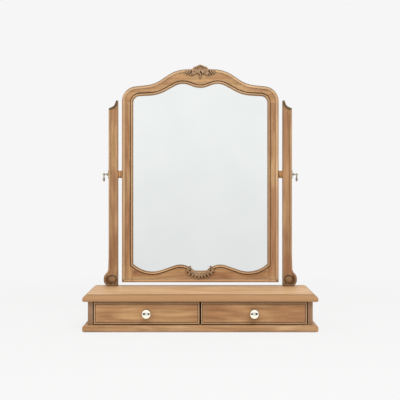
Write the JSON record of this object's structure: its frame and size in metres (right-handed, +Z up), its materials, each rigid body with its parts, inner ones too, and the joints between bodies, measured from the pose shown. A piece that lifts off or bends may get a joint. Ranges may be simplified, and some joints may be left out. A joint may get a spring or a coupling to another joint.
{
  "type": "dressing table mirror",
  "caption": "Arched wooden dressing table mirror with carved crest and garland, tilting between scroll-footed posts on a moulded base with drawers.",
  "frame": {"origin": "on the table, under the middle of the overall box", "axes": "+X to the right, +Y to the back, +Z up; the mirror faces -Y"},
  "size_m": [0.72, 0.2294, 0.848],
  "materials": {
    "oak_boards": "light washed oak, satin",
    "oak_case": "light washed oak, satin",
    "oak_posts": "light washed oak with darker glaze in the grooves",
    "oak_frame": "light washed oak with darker glaze in the grooves",
    "oak_carving": "carved oak, glazed dark in the hollows",
    "turned_wood": "turned oak, oiled",
    "drawer_front_oak": "light washed oak, satin",
    "drawer_wood": "plain pale wood, unfinished",
    "dowel_beech": "plain beech",
    "plywood": "thin plywood, unfinished",
    "silvered_glass": "clear silvered mirror",
    "polished_nickel": "polished nickel",
    "antique_nickel": "aged nickel, dull",
    "zinc_steel": "zinc plated",
    "brass_insert": "plain brass",
    "felt": "brown wool felt"
  },
  "bodies": {
    "base": {"top_board": "oak_boards", "plinth_board": "oak_boards", "left_side_panel": "oak_case", "right_side_panel": "oak_case", "centre_partition": "oak_case", "back_panel": "plywood", "drawer_guides": "drawer_wood", "felt_pads": "felt", "case_screws": "zinc_steel", "case_dowels": "dowel_beech", "left_post": "oak_posts", "right_post": "oak_posts", "post_screws": "zinc_steel", "left_backplate": "antique_nickel", "right_backplate": "antique_nickel", "backplate_pins": "antique_nickel", "left_pivot_spacer": "turned_wood", "right_pivot_spacer": "turned_wood"},
    "mirror_frame": {"frame_top_rail": "oak_frame", "frame_bottom_rail": "oak_frame", "frame_left_stile": "oak_frame", "frame_right_stile": "oak_frame", "frame_dowels": "dowel_beech", "mirror_glass": "silvered_glass", "backing_board": "plywood", "backing_screws": "zinc_steel", "crest_carving": "oak_carving", "garland_carving": "oak_carving", "left_threaded_insert": "brass_insert", "right_threaded_insert": "brass_insert"},
    "left_drawer": {"left_drawer_front": "drawer_front_oak", "left_drawer_outer_side": "drawer_wood", "left_drawer_inner_side": "drawer_wood", "left_drawer_back": "drawer_wood", "left_drawer_bottom": "plywood", "left_drawer_knob": "polished_nickel", "left_knob_screw": "zinc_steel"},
    "right_drawer": {"right_drawer_front": "drawer_front_oak", "right_drawer_outer_side": "drawer_wood", "right_drawer_inner_side": "drawer_wood", "right_drawer_back": "drawer_wood", "right_drawer_bottom": "plywood", "right_drawer_knob": "polished_nickel", "right_knob_screw": "zinc_steel"},
    "left_thumb_screw": {"left_thumb_turn": "antique_nickel", "left_pivot_bolt": "zinc_steel"},
    "right_thumb_screw": {"right_thumb_turn": "antique_nickel", "right_pivot_bolt": "zinc_steel"}
  },
  "joints": [
    {"name": "mirror_tilt", "type": "hinge", "parent": "base", "child": "mirror_frame", "pos_m": [0, 0.09575, 0.486], "axis": [1, 0, 0], "continuous": true},
    {"name": "left_drawer_slide", "type": "slide", "parent": "base", "child": "left_drawer", "axis": [0, -1, 0], "range_m": [0, 0.13]},
    {"name": "right_drawer_slide", "type": "slide", "parent": "base", "child": "right_drawer", "axis": [0, -1, 0], "range_m": [0, 0.13]},
    {"name": "left_thumb_screw_turn", "type": "hinge", "parent": "base", "child": "left_thumb_screw", "pos_m": [-0.3029, 0.09575, 0.486], "axis": [-1, 0, 0], "range_deg": [0, 360]},
    {"name": "right_thumb_screw_turn", "type": "hinge", "parent": "base", "child": "right_thumb_screw", "pos_m": [0.3029, 0.09575, 0.486], "axis": [1, 0, 0], "range_deg": [0, 360]}
  ]
}
